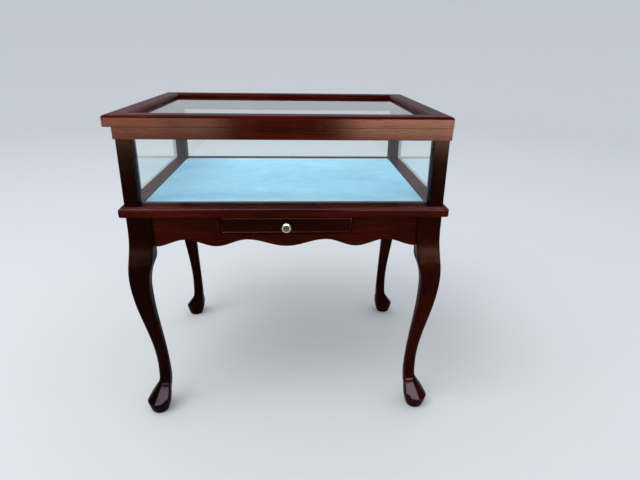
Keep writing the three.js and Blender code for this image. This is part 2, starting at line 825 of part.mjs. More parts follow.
function makeDrawer(group) {
  group.add(named("drawer_front", drawerFrontGeometry(), mahogany));
  group.add(named("drawer_side_left", drawerSideGeometry(-1), drawerWood));
  group.add(named("drawer_side_right", drawerSideGeometry(1), drawerWood));
  const sideTop = sideFloor + drawerSideHeight;
  const span = sideInner - seam;
  const back = block(-span, span, drawerRearY - drawerWall, drawerRearY, grooveTop, sideTop);
  group.add(named("drawer_back", back, drawerWood));
  const reach = sideInner + drawerGroove - slip;
  const bottomFront = frontBackY - drawerGroove + slip;
  const bottomTop = bottomLevel + drawerBottomThickness;
  const bottom = block(-reach, reach, bottomFront, drawerRearY, bottomLevel, bottomTop);
  group.add(named("drawer_bottom", bottom, drawerWood));
  const knob = named("drawer_knob", knobGeometry(), brass);
  knob.rotation.x = Math.PI;
  knob.position.set(0, apronFaceY, drawerMiddle);
  group.add(knob);
}

// The runners hang between the front and the back apron, and a stop lies across them behind the drawer.
function makeRunners(group) {
  const guideFace = sideOuter + guidePlay;
  const ledge = sideFloor - seam;
  const front = -(caseDepth / 2 - apronInside) + seam;
  for (const hand of [-1, 1]) {
    const section = polygon([
      [hand * (sideOuter - runnerReach), ledge - runnerLedge],
      [hand * (guideFace + guideWidth), ledge - runnerLedge],
      [hand * (guideFace + guideWidth), ledge + guideRise],
      [hand * guideFace, ledge + guideRise],
      [hand * guideFace, ledge],
      [hand * (sideOuter - runnerReach), ledge],
    ]);
    const name = "drawer_runner_" + (hand < 0 ? "left" : "right");
    group.add(named(name, stickAlongY(section, front, -front), drawerWood));
  }
  const reach = guideFace - seam;
  const stopFront = drawerRearY + stopPlay;
  const stopFloor = ledge + seam;
  const bar = block(-reach, reach, stopFront, stopFront + stopWidth, stopFloor, stopFloor + stopHeight);
  group.add(named("drawer_stop", bar, drawerWood));
}

// The whole table.

const table = new THREE.Group();
table.name = "collectors_display_table";
const subassemblies = {
  stand: [makeLegs, makeAprons, makeBraces, makeRunners],
  glazed_case: [makeTableFrame, makeDisplayFloor, makePosts, makePanes, makeTopRails],
  lid: [makeLidRails, makeLidGlazing, makeHinges],
  drawer: [makeDrawer],
};
for (const [name, makers] of Object.entries(subassemblies)) {
  const group = new THREE.Group();
  group.name = name;
  for (const make of makers) make(group);
  table.add(group);
}

const box = new THREE.Box3().setFromObject(table);
const middle = box.getCenter(new THREE.Vector3());
table.position.set(-middle.x, -middle.y, -box.min.z);

export default table;
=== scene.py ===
"""Looks of a collectors' display table: a stand with a drawer, a glazed case and a hinged glazed lid.

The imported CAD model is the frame. Its wooden nodes are copied, eased along their arrises and finished, the
display board gets its velvet, the knob is turned afresh and the hinges get their screws. Lengths are in
metres, and the named angles of the sub-assemblies are in degrees.
"""

import json
import logging
import math
from dataclasses import dataclass, replace
from enum import Enum
from functools import cached_property, lru_cache
from typing import Callable, Optional, Sequence, Union

import bmesh
import bpy
from mathutils import Matrix, Vector, noise

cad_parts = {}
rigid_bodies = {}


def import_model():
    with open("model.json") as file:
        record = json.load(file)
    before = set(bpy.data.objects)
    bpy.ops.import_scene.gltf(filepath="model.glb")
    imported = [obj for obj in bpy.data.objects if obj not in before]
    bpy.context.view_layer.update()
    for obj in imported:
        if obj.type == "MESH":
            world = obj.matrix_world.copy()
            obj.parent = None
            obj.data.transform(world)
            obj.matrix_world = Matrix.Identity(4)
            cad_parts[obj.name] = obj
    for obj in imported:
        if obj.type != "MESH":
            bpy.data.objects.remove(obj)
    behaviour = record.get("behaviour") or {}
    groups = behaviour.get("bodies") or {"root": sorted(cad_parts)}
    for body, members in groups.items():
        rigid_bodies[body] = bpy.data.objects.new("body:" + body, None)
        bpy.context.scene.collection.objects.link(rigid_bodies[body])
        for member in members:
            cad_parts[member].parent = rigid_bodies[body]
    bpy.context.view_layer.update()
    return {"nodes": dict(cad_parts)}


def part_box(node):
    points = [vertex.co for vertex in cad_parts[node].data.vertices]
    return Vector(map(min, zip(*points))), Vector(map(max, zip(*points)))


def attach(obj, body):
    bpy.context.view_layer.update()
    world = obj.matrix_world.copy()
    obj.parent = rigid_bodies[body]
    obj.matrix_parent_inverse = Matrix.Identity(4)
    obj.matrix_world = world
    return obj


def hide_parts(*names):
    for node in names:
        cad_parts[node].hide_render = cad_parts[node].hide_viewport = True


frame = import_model()

MM = 0.001
log = logging.getLogger("display_table")

Pair = tuple[float, float]
Triple = tuple[float, float, float]
Point = Pair
Place = Triple
Colour = Triple
Feed = Union["Signal", float, Triple]


class Grain(Enum):
    """The axis along which a board's fibres run, as the share that each axis keeps of a pattern's density."""

    ALONG_X = (0.0, 1.0, 1.0)
    ALONG_Y = (1.0, 0.0, 1.0)
    ALONG_Z = (1.0, 1.0, 0.0)

    def stretch(self, length: float) -> Triple:
        """Scales a pattern so that it is this many times longer along the fibres than across them."""
        return tuple(across if across else 1 / length for across in self.value)


class Stain(Enum):
    """How much light a piece gives back, since each board took the stain in its own way."""

    RICH = 1.5
    EVEN = 1.0
    DEEP = 0.6
    DARKEST = 0.2


class Facing(Enum):
    """The direction in which a turned piece looks out of what carries it."""

    FRONT = (0.0, -1.0, 0.0)
    BACK = (0.0, 1.0, 0.0)
    DOWN = (0.0, 0.0, -1.0)


@dataclass(frozen=True)
class Pattern:
    """One cloudy noise: how dense, detailed and bent it is, and how it is drawn out and moved aside."""

    scale: float
    detail: float
    distortion: float = 0.0
    length: float = 1.0
    density: Optional[Triple] = None
    shift: Optional[Triple] = None
    roughness: float = 0.55

    def along(self, grain: Grain) -> "Pattern":
        """The same pattern, drawn out along a board's fibres."""
        return replace(self, density=grain.stretch(self.length))


class Signal:
    """A node's output that takes part in arithmetic, where each operation adds its own node."""

    def __init__(self, wiring: "Wiring", socket: bpy.types.NodeSocket) -> None:
        """Wraps one output socket of a material's node tree."""
        self.wiring = wiring
        self.socket = socket

    def _math(self, operation: str, first: Feed, second: Feed) -> "Signal":
        """Adds one Math node."""
        return self.wiring.value("ShaderNodeMath", {"operation": operation}, {0: first, 1: second})

    def __add__(self, other: Feed) -> "Signal":
        """Sum."""
        return self._math("ADD", self, other)

    __radd__ = __add__

    def __sub__(self, other: Feed) -> "Signal":
        """Difference."""
        return self._math("SUBTRACT", self, other)

    def __rsub__(self, other: Feed) -> "Signal":
        """Difference from a number."""
        return self._math("SUBTRACT", other, self)

    def __mul__(self, other: Feed) -> "Signal":
        """Product."""
        return self._math("MULTIPLY", self, other)

    __rmul__ = __mul__


class Wiring:
    """The node tree of one material, or of the world."""

    def __init__(self, name: str, is_world: bool = False) -> None:
        """Starts a tree that holds only its output.

        Args:
            name: The name of the new material or world.
            is_world: Whether the tree is the world's.
        """
        self.owner = (bpy.data.worlds if is_world else bpy.data.materials).new(name)
        self.owner.use_nodes = True
        self.tree = self.owner.node_tree
        self.tree.nodes.clear()
        self.output = self.node("ShaderNodeOutputWorld" if is_world else "ShaderNodeOutputMaterial")

    def node(
        self, kind: str, settings: Optional[dict] = None, inputs: Optional[dict] = None
    ) -> bpy.types.Node:
        """Adds one node.

        Args:
            kind: The node's type.
            settings: Its settings, which are set before the inputs.
            inputs: A value or a signal for each input, by name or by number.

        Returns:
            The new node.
        """
        node = self.tree.nodes.new(kind)
        for name, value in (settings or {}).items():
            setattr(node, name, value)
        for name, value in (inputs or {}).items():
            self.feed(self._input(node, name), value)
        return node

    @staticmethod
    def _input(node: bpy.types.Node, name: Union[str, int]) -> bpy.types.NodeSocket:
        """Finds an input by number, or the one in use by name.

        Args:
            node: The node that has it.
            name: The input's name or number.

        Returns:
            The input's socket.
        """
        if isinstance(name, int):
            return node.inputs[name]
        return next(socket for socket in node.inputs if socket.name == name and socket.enabled)

    def feed(self, socket: bpy.types.NodeSocket, value: Feed) -> None:
        """Links a signal to an input, or sets its constant.

        Args:
            socket: The input.
            value: The signal or the constant.
        """
        if isinstance(value, Signal):
            self.tree.links.new(value.socket, socket)
        elif isinstance(value, tuple) and socket.type == "RGBA":
            socket.default_value = (*value, 1.0)
        else:
            socket.default_value = value

    def value(self, kind: str, settings: Optional[dict] = None, inputs: Optional[dict] = None) -> Signal:
        """Adds one node and returns its first output in use as a signal."""
        node = self.node(kind, settings, inputs)
        return Signal(self, next(socket for socket in node.outputs if socket.enabled))

    @cached_property
    def place(self) -> Signal:
        """The shaded point in the piece's own coordinates."""
        return Signal(self, self.node("ShaderNodeTexCoord").outputs["Object"])

    def ray_is(self, kind: str) -> Signal:
        """1 on a ray of this kind and 0 on any other."""
        return Signal(self, self.node("ShaderNodeLightPath").outputs[f"Is {kind} Ray"])

    def vector(self, operation: str, point: Signal, other: Triple) -> Signal:
        """Adds one Vector Math node."""
        return self.value("ShaderNodeVectorMath", {"operation": operation}, {0: point, 1: other})

    def noise(self, pattern: Pattern) -> Signal:
        """Adds cloudy noise from 0 to 1.

        Args:
            pattern: The noise's look.

        Returns:
            The noise.
        """
        point = self.place
        if pattern.density:
            point = self.vector("MULTIPLY", point, pattern.density)
        if pattern.shift:
            point = self.vector("ADD", point, pattern.shift)
        return self.value("ShaderNodeTexNoise", None, {
            "Vector": point,
            "Scale": pattern.scale,
            "Detail": pattern.detail,
            "Roughness": pattern.roughness,
            "Distortion": pattern.distortion,
        })

    def between(self, signal: Signal, stretch: Pair) -> Signal:
        """Spreads a stretch of a signal over 0 to 1 and cuts off the rest.

        Args:
            signal: The signal.
            stretch: The values that become 0 and 1.

        Returns:
            The spread signal.
        """
        low, high = stretch
        inputs = {"Value": signal, "From Min": low, "From Max": high}
        return self.value("ShaderNodeMapRange", {"clamp": True}, inputs)

    @staticmethod
    def together(first: Signal, second: Signal, share: float) -> Signal:
        """Adds two signals, of which the first makes up this share."""
        return first * share + second * (1 - share)

    def blend(self, first: Feed, second: Feed, share: Feed) -> Signal:
        """Mixes two colours."""
        inputs = {"Factor": share, "A": first, "B": second}
        return self.value("ShaderNodeMix", {"data_type": "RGBA"}, inputs)

    def bump(self, height: Signal, strength: float, depth: float) -> Signal:
        """Turns a height into a normal."""
        inputs = {"Strength": strength, "Distance": depth, "Height": height}
        return self.value("ShaderNodeBump", None, inputs)

    def principled(self, inputs: dict) -> bpy.types.Node:
        """Adds one Principled shader."""
        return self.node("ShaderNodeBsdfPrincipled", None, inputs)

    def mixed(self, first: bpy.types.Node, second: bpy.types.Node, share: Feed) -> bpy.types.Node:
        """Mixes two shaders.

        Args:
            first: The shader at a share of 0.
            second: The shader at a share of 1.
            share: How much of the second shows.

        Returns:
            The mixed shader.
        """
        mixer = self.node("ShaderNodeMixShader", None, {0: share})
        self.tree.links.new(first.outputs[0], mixer.inputs[1])
        self.tree.links.new(second.outputs[0], mixer.inputs[2])
        return mixer

    def surface(self, shader: bpy.types.Node) -> bpy.types.ID:
        """Puts the last shader on the output and returns the finished material or world."""
        self.tree.links.new(shader.outputs[0], self.output.inputs["Surface"])
        return self.owner


@dataclass(frozen=True)
class Lacquer:
    """Mahogany under a dark red lacquer that is part glossy and part rubbed dull, with open pores."""

    name: str = "mahogany"
    shade: Colour = (0.014, 0.0005, 0.0003)
    body: Colour = (0.028, 0.001, 0.0005)
    glow: Colour = (0.07, 0.006, 0.002)
    pore: Colour = (0.005, 0.0006, 0.0004)
    sheen: Colour = (1.0, 0.42, 0.23)
    reflectance: float = 0.23
    stained_share: float = 0.5
    gloss: float = 0.12
    rubbed_share: float = 0.7
    figure: Pattern = Pattern(24, 4, 0.8, length=9)
    fibres: Pattern = Pattern(420, 3, length=45)
    dashes: Pattern = Pattern(760, 2, length=11)
    clouds: Pattern = Pattern(6, 2)
    smudges: Pattern = Pattern(17, 4, shift=(3.1, 1.7, 0.4))
    rubs: Pattern = Pattern(95, 3, shift=(0.7, 2.9, 5.3))
    body_stretch: Pair = (0.36, 0.6)
    glow_stretch: Pair = (0.47, 0.75)
    pore_stretch: Pair = (0.6, 0.72)
    smudge_stretch: Pair = (0.4, 0.75)
    rub_stretch: Pair = (0.6, 0.7)
    figure_share: float = 0.6
    cloud_share: float = 0.5
    pore_share: float = 0.6
    smudge_dulls: float = 0.06
    pore_dulls: float = 0.12
    rub_dulls: float = 0.08
    fibre_relief: float = 0.2
    relief: float = 0.13
    relief_depth: float = 0.15 * MM

    def material(self, grain: Grain, stain: Stain) -> bpy.types.Material:
        """Wires the lacquered wood of one board.

        Args:
            grain: The way the board's fibres run.
            stain: How dark the board came out.

        Returns:
            The material.
        """
        shade, body, glow = (
            tuple(part * stain.value for part in colour) for colour in (self.shade, self.body, self.glow)
        )
        wiring = Wiring(f"{self.name}_{grain.name.lower()}_{stain.name.lower()}")
        fibres = wiring.noise(self.fibres.along(grain))
        figured = wiring.together(wiring.noise(self.figure.along(grain)), fibres, self.figure_share)
        clouded = wiring.together(wiring.noise(self.clouds), fibres, self.cloud_share)
        pores = wiring.between(wiring.noise(self.dashes.along(grain)), self.pore_stretch)
        smudges = wiring.between(wiring.noise(self.smudges), self.smudge_stretch)
        rubs = wiring.between(wiring.noise(self.rubs), self.rub_stretch)
        ground = wiring.blend(shade, body, wiring.between(figured, self.body_stretch))
        warm = wiring.blend(ground, glow, wiring.between(clouded, self.glow_stretch))
        rough = self.gloss + smudges * self.smudge_dulls + pores * self.pore_dulls + rubs * self.rub_dulls
        wood = {
            "Base Color": wiring.blend(warm, self.pore, pores * self.pore_share),
            "Roughness": rough,
            "Normal": wiring.bump(fibres * self.fibre_relief - pores, self.relief, self.relief_depth),
            "Specular IOR Level": 0.0,
        }
        clearness = 1 - self.stained_share + self.stained_share * stain.value
        dull = wiring.principled(wood)
        glossy = wiring.principled(wood | {
            "Specular IOR Level": self.reflectance * clearness,
            "Specular Tint": self.sheen,
        })
        return wiring.surface(wiring.mixed(glossy, dull, self.rubbed_share))


@dataclass(frozen=True)
class BareWood:
    """Plain secondary wood, planed and left without a finish."""

    name: str = "drawer_wood"
    early: Colour = (0.56, 0.36, 0.19)
    late: Colour = (0.4, 0.235, 0.11)
    rings: Pattern = Pattern(70, 3, 1.4, length=16)
    fibres: Pattern = Pattern(800, 3, length=60)
    ring_stretch: Pair = (0.4, 0.62)
    ring_share: float = 0.7
    roughness: float = 0.62
    fibre_dulls: float = 0.15
    ring_relief: float = 0.5
    relief: float = 0.3
    relief_depth: float = 0.2 * MM
    reflectance: float = 0.35

    def material(self, grain: Grain) -> bpy.types.Material:
        """Wires the bare wood of one board.

        Args:
            grain: The way the board's fibres run.

        Returns:
            The material.
        """
        wiring = Wiring(f"{self.name}_{grain.name.lower()}")
        rings, fibres = wiring.noise(self.rings.along(grain)), wiring.noise(self.fibres.along(grain))
        late = wiring.together(wiring.between(rings, self.ring_stretch), fibres, self.ring_share)
        return wiring.surface(wiring.principled({
            "Base Color": wiring.blend(self.early, self.late, late),
            "Roughness": self.roughness + fibres * self.fibre_dulls,
            "Normal": wiring.bump(fibres + rings * self.ring_relief, self.relief, self.relief_depth),
            "Specular IOR Level": self.reflectance,
        }))


@dataclass(frozen=True)
class PressedBoard:
    """The brown fibreboard under the velvet."""

    name: str = "pressed_board"
    pale: Colour = (0.3, 0.19, 0.105)
    dark: Colour = (0.19, 0.115, 0.06)
    flecks: Pattern = Pattern(900, 4)
    clouds: Pattern = Pattern(30, 3)
    fleck_share: float = 0.6
    roughness: float = 0.75
    fleck_dulls: float = 0.1
    relief: float = 0.4
    relief_depth: float = 0.2 * MM
    reflectance: float = 0.3

    def material(self) -> bpy.types.Material:
        """Wires the board.

        Returns:
            The material.
        """
        wiring = Wiring(self.name)
        flecks = wiring.noise(self.flecks)
        paleness = wiring.together(flecks, wiring.noise(self.clouds), self.fleck_share)
        return wiring.surface(wiring.principled({
            "Base Color": wiring.blend(self.dark, self.pale, paleness),
            "Roughness": self.roughness + flecks * self.fleck_dulls,
            "Normal": wiring.bump(flecks, self.relief, self.relief_depth),
            "Specular IOR Level": self.reflectance,
        }))


@dataclass(frozen=True)
class Velvet:
    """Ice blue velvet, its short pile brushed this way and that."""

    name: str = "ice_velvet"
    brushed_down: Colour = (0.255, 0.55, 0.83)
    brushed_up: Colour = (0.405, 0.73, 0.9)
    sheen: Colour = (0.8, 0.95, 1.0)
    sheen_weight: float = 0.12
    sheen_roughness: float = 0.45
    strokes: Pattern = Pattern(9, 5, 0.7, density=(0.7, 1.0, 1.0))
    patches: Pattern = Pattern(34, 4, 0.4, shift=(2.3, 5.1, 0.0))
    pile: Pattern = Pattern(1500, 2)
    nap_stretch: Pair = (0.34, 0.64)
    stroke_share: float = 0.6
    nap_share: float = 0.8
    roughness: float = 0.95
    nap_polish: float = 0.1
    patch_relief: float = 0.8
    relief: float = 0.5
    relief_depth: float = 0.4 * MM
    reflectance: float = 0.1

    def material(self) -> bpy.types.Material:
        """Wires the velvet.

        Returns:
            The material.
        """
        wiring = Wiring(self.name)
        patches, pile = wiring.noise(self.patches), wiring.noise(self.pile)
        brushed = wiring.together(wiring.noise(self.strokes), patches, self.stroke_share)
        nap = wiring.between(brushed, self.nap_stretch)
        paleness = wiring.together(nap, pile, self.nap_share)
        return wiring.surface(wiring.principled({
            "Base Color": wiring.blend(self.brushed_down, self.brushed_up, paleness),
            "Roughness": self.roughness - nap * self.nap_polish,
            "Normal": wiring.bump(pile + patches * self.patch_relief, self.relief, self.relief_depth),
            "Specular IOR Level": self.reflectance,
            "Sheen Weight": self.sheen_weight,
            "Sheen Roughness": self.sheen_roughness,
            "Sheen Tint": self.sheen,
        }))


@dataclass(frozen=True)
class SheetGlass:
    """Clear float glass that lets the lamps' light through."""

    name: str = "clear_glass"
    tint: Colour = (0.975, 0.995, 0.985)
    passed: Colour = (0.94, 0.965, 0.955)
    refraction: float = 1.5

    def material(self) -> bpy.types.Material:
        """Wires the glass.

        Returns:
            The material.
        """
        wiring = Wiring(self.name)
        glass = wiring.principled({
            "Base Color": self.tint,
            "Roughness": 0.0,
            "IOR": self.refraction,
            "Transmission Weight": 1.0,
        })
        clear = wiring.node("ShaderNodeBsdfTransparent", None, {"Color": self.passed})
        return wiring.surface(wiring.mixed(glass, clear, wiring.ray_is("Shadow")))


@dataclass(frozen=True)
class Brass:
    """Polished pale brass with fine rubbing marks and dull tarnished patches; a knob's dish gets painted
    shade.
    """

    name: str = "brass"
    bright: Colour = (0.74, 0.68, 0.37)
    dull: Colour = (0.38, 0.34, 0.17)
    # Painted shade: the dark colour that a knob's dish is painted towards its middle.
    painted_dish_shade: Colour = (0.12, 0.105, 0.035)
    tarnish: Pattern = Pattern(260, 4, 0.5)
    rubbing: Pattern = Pattern(4200, 2, density=(1.0, 1.0, 0.1))
    dull_stretch: Pair = (0.45, 0.75)
    rough_stretch: Pair = (0.4, 0.8)
    polish: float = 0.16
    tarnish_dulls: float = 0.2
    rubbing_dulls: float = 0.06
    hollow_dulls: float = 0.25
    hollow_stretch: Pair = (7 * MM, 5.6 * MM)
    relief: float = 0.12
    relief_depth: float = 0.05 * MM

    def material(self, hollow_at: Optional[Place] = None) -> bpy.types.Material:
        """Wires the brass.

        Args:
            hollow_at: The middle of a dish whose colour is painted darker towards it as shade, and whose
                polish is duller there.

        Returns:
            The material.
        """
        wiring = Wiring(self.name if hollow_at is None else f"{self.name}_dished")
        tarnish, rubbing = wiring.noise(self.tarnish), wiring.noise(self.rubbing)
        colour = wiring.blend(self.bright, self.dull, wiring.between(tarnish, self.dull_stretch))
        tarnished = wiring.between(tarnish, self.rough_stretch)
        rough = self.polish + tarnished * self.tarnish_dulls + rubbing * self.rubbing_dulls
        if hollow_at is not None:
            # Painted shade: the colour darkens, and the polish dulls, towards the middle of the dish.
            away = wiring.vector("DISTANCE", wiring.place, hollow_at)
            dish_shade_share = wiring.between(away, self.hollow_stretch)
            colour = wiring.blend(colour, self.painted_dish_shade, dish_shade_share)
            rough = rough + dish_shade_share * self.hollow_dulls
        return wiring.surface(wiring.principled({
            "Base Color": colour,
            "Metallic": 1.0,
            "Roughness": rough,
            "Normal": wiring.bump(rubbing, self.relief, self.relief_depth),
        }))


class Palette:
    """Every finish of the table, each made once."""

    @staticmethod
    @lru_cache(maxsize=None)
    def lacquer(grain: Grain, stain: Stain) -> bpy.types.Material:
        """Lacquered mahogany."""
        return Lacquer().material(grain, stain)

    @staticmethod
    @lru_cache(maxsize=None)
    def bare(grain: Grain) -> bpy.types.Material:
        """Bare drawer wood."""
        return BareWood().material(grain)

    @staticmethod
    @lru_cache(maxsize=None)
    def board() -> bpy.types.Material:
        """Fibreboard."""
        return PressedBoard().material()

    @staticmethod
    @lru_cache(maxsize=None)
    def velvet() -> bpy.types.Material:
        """Velvet."""
        return Velvet().material()

    @staticmethod
    @lru_cache(maxsize=None)
    def glass() -> bpy.types.Material:
        """Glass."""
        return SheetGlass().material()

    @staticmethod
    @lru_cache(maxsize=None)
    def brass(hollow_at: Optional[Place] = None) -> bpy.types.Material:
        """Brass, with painted shade darkening a dish where one is named."""
        return Brass().material(hollow_at)


class Bench:
    """The hand tools that every sub-assembly shares."""

    same_place = 0.002 * MM
    flat_angle = math.radians(0.5)
    arris_angle = math.radians(32)
    arris_steps = 3
    crease_angle = math.radians(38)

    @staticmethod
    def alone(piece: bpy.types.Object) -> None:
        """Selects one object and nothing else.

        Args:
            piece: The object.
        """
        for other in bpy.context.view_layer.objects:
            other.select_set(False)
        piece.select_set(True)
        bpy.context.view_layer.objects.active = piece

    @staticmethod
    def modified(piece: bpy.types.Object, kind: str, **settings: object) -> None:
        """Adds a modifier and applies it.

        Args:
            piece: The piece that it changes.
            kind: The modifier's type.
            settings: Its settings, by name.
        """
        Bench.alone(piece)
        modifier = piece.modifiers.new(kind.lower(), kind)
        for name, value in settings.items():
            setattr(modifier, name, value)
        bpy.ops.object.modifier_apply(modifier=modifier.name)

    @staticmethod
    def pick_faces(piece: bpy.types.Object, wanted: Callable[[Vector, Vector], bool]) -> None:
        """Selects faces in edit mode, and nothing else.

        Args:
            piece: The piece that is being edited.
            wanted: Says by a face's middle and normal whether it is selected.
        """
        bpy.ops.mesh.select_mode(type="FACE")
        bpy.ops.mesh.select_all(action="DESELECT")
        mesh = bmesh.from_edit_mesh(piece.data)
        for face in mesh.faces:
            if wanted(face.calc_center_median(), face.normal):
                face.select_set(True)
        bmesh.update_edit_mesh(piece.data)

    @staticmethod
    def pick_places(piece: bpy.types.Object, wanted: Callable[[Vector], bool]) -> None:
        """Selects vertices in edit mode, and the edges between them.

        Args:
            piece: The piece that is being edited.
            wanted: Says by a vertex's place whether it is selected.
        """
        bpy.ops.mesh.select_mode(type="VERT")
        bpy.ops.mesh.select_all(action="DESELECT")
        mesh = bmesh.from_edit_mesh(piece.data)
        for vertex in mesh.verts:
            vertex.select_set(wanted(vertex.co))
        mesh.select_flush(True)
        bmesh.update_edit_mesh(piece.data)

    @staticmethod
    def merged_copy(node: str) -> bpy.types.Object:
        """Copies a CAD node as a new piece and merges its loose triangles into one skin.

        Args:
            node: The CAD node.

        Returns:
            The new piece.
        """
        piece = bpy.data.objects.new(f"{node}_finished", frame["nodes"][node].data.copy())
        bpy.context.scene.collection.objects.link(piece)
        Bench.alone(piece)
        bpy.ops.object.mode_set(mode="EDIT")
        bpy.ops.mesh.select_all(action="SELECT")
        bpy.ops.mesh.remove_doubles(threshold=Bench.same_place)
        bpy.ops.object.mode_set(mode="OBJECT")
        return piece

    @staticmethod
    def shaded(piece: bpy.types.Object, angle: float) -> None:
        """Shades a piece smooth, except across its sharp edges.

        Args:
            piece: The piece.
            angle: How many degrees an edge bends before it is sharp.
        """
        Bench.alone(piece)
        bpy.ops.object.shade_smooth()
        bpy.ops.object.mode_set(mode="EDIT")
        bpy.ops.mesh.select_mode(type="EDGE")
        bpy.ops.mesh.select_all(action="DESELECT")
        bpy.ops.mesh.edges_select_sharp(sharpness=math.radians(angle))
        bpy.ops.mesh.mark_sharp()
        bpy.ops.object.mode_set(mode="OBJECT")

    @staticmethod
    def eased(node: str, arris: float) -> bpy.types.Object:
        """Copies a CAD node and eases its arrises."""
        return Bench.finished(Bench.merged_copy(node), arris)

    @staticmethod
    def finished(piece: bpy.types.Object, arris: float) -> bpy.types.Object:
        """Eases a piece's arrises, as sandpaper does before the lacquer.

        Args:
            piece: The piece, with flat faces of loose triangles.
            arris: How wide the eased edge is.

        Returns:
            The same piece, which still lacks its body and finish.
        """
        Bench.alone(piece)
        bpy.ops.object.mode_set(mode="EDIT")
        bpy.ops.mesh.select_all(action="SELECT")
        bpy.ops.mesh.dissolve_limited(angle_limit=Bench.flat_angle)
        bpy.ops.object.mode_set(mode="OBJECT")
        steps, angle = Bench.arris_steps, Bench.arris_angle
        Bench.modified(piece, "BEVEL", width=arris, segments=steps, limit_method="ANGLE", angle_limit=angle)
        bpy.ops.object.shade_smooth_by_angle(angle=Bench.crease_angle)
        Bench.modified(piece, "WEIGHTED_NORMAL", keep_sharp=True)
        return piece

    @staticmethod
    def curve(start: Point, pull: Point, end: Point, steps: int = 6) -> list[Point]:
        """Draws an arc that leaves towards a point and arrives from it.

        Args:
            start: Where the arc starts.
            pull: The point that bends it.
            end: Where it ends.
            steps: How many points it has after the start.

        Returns:
            Its points after the start.
        """
        shares = [step / steps for step in range(1, steps + 1)]
        return [
            tuple((1 - t) ** 2 * a + 2 * t * (1 - t) * b + t * t * c for a, b, c in zip(start, pull, end))
            for t in shares
        ]

    @staticmethod
    def turned(name: str, profile: list[Point], sides: int) -> bpy.types.Object:
        """Turns a solid on the upright axis.

        Args:
            name: The new piece's name.
            profile: Its radius and its height, from the foot up.
            sides: How many sides its rings have.

        Returns:
            The turned piece, at the origin.
        """
        (radius, height), *rest = profile
        bpy.ops.mesh.primitive_circle_add(
            vertices=sides, radius=radius, fill_type="NGON", location=(0, 0, height)
        )
        piece = bpy.context.active_object
        piece.name = name
        Bench.alone(piece)
        bpy.ops.object.transform_apply(location=True, rotation=True, scale=True)
        bpy.ops.object.mode_set(mode="EDIT")
        bpy.ops.mesh.select_all(action="SELECT")
        for next_radius, next_height in rest:
            step = (0, 0, next_height - height)
            bpy.ops.mesh.extrude_region_move(TRANSFORM_OT_translate={"value": step})
            if next_radius:
                share = next_radius / radius
                bpy.ops.transform.resize(value=(share, share, 1), center_override=(0, 0, 0))
            else:
                bpy.ops.mesh.merge(type="CENTER")
            radius, height = next_radius, next_height
        bpy.ops.mesh.select_all(action="SELECT")
        bpy.ops.mesh.normals_make_consistent(inside=False)
        bpy.ops.object.mode_set(mode="OBJECT")
        return piece

    @staticmethod
    def set_on(piece: bpy.types.Object, foot: Vector, facing: Facing) -> bpy.types.Object:
        """Moves an upright turned piece to its place.

        Args:
            piece: The piece, with its foot at the origin.
            foot: Where its foot goes.
            facing: Which way its axis points.

        Returns:
            The same piece.
        """
        turn = Vector((0, 0, 1)).rotation_difference(Vector(facing.value)).to_matrix().to_4x4()
        piece.data.transform(Matrix.Translation(foot) @ turn)
        return piece

    @staticmethod
    def drilled(piece: bpy.types.Object, drill: bpy.types.Object) -> None:
        """Takes a drill's shape out of a piece and throws the drill away."""
        Bench.modified(piece, "BOOLEAN", operation="DIFFERENCE", solver="EXACT", object=drill)
        bpy.data.objects.remove(drill, do_unlink=True)


@dataclass
class SubAssembly:
    """Pieces that ride on one body, and are built and dressed together."""

    body: str
    palette: Palette
    arris: float = 0.5 * MM

    def fit(
        self, piece: bpy.types.Object, slot: str, finish: bpy.types.Material, *nodes: str
    ) -> None:
        """Gives a new piece its finish, body and place in the table.

        Args:
            piece: The new piece.
            slot: The record's material slot; not used.
            finish: Its material.
            nodes: The CAD nodes that it stands for.
        """
        piece.data.materials.clear()
        piece.data.materials.append(finish)
        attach(piece, self.body)
        if nodes:
            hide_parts(*nodes)
        self.report(piece.name)

    def lacquered(self, node: str, grain: Grain, stain: Stain = Stain.EVEN) -> None:
        """Eases and lacquers a mahogany node."""
        self.fit(Bench.eased(node, self.arris), "mahogany", self.palette.lacquer(grain, stain), node)

    def bare(self, node: str, grain: Grain) -> None:
        """Eases a node of bare drawer wood."""
        self.fit(Bench.eased(node, self.arris), "drawer_wood", self.palette.bare(grain), node)

    def carried_over(self, node: str, finish: bpy.types.Material) -> None:
        """Gives a CAD node that stays its finish.

        Args:
            node: The CAD node.
            finish: Its material.
        """
        held = frame["nodes"][node]
        held.data.materials.clear()
        held.data.materials.append(finish)
        self.report(node)

    def report(self, name: str) -> None:
        """Notes a finished piece."""
        log.info("%s: %s", type(self).__name__, name)


GRAIN_OF_SIDE = {
    "front": Grain.ALONG_X,
    "back": Grain.ALONG_X,
    "left": Grain.ALONG_Y,
    "right": Grain.ALONG_Y,
}
CORNERS = ("front_left", "front_right", "back_left", "back_right")


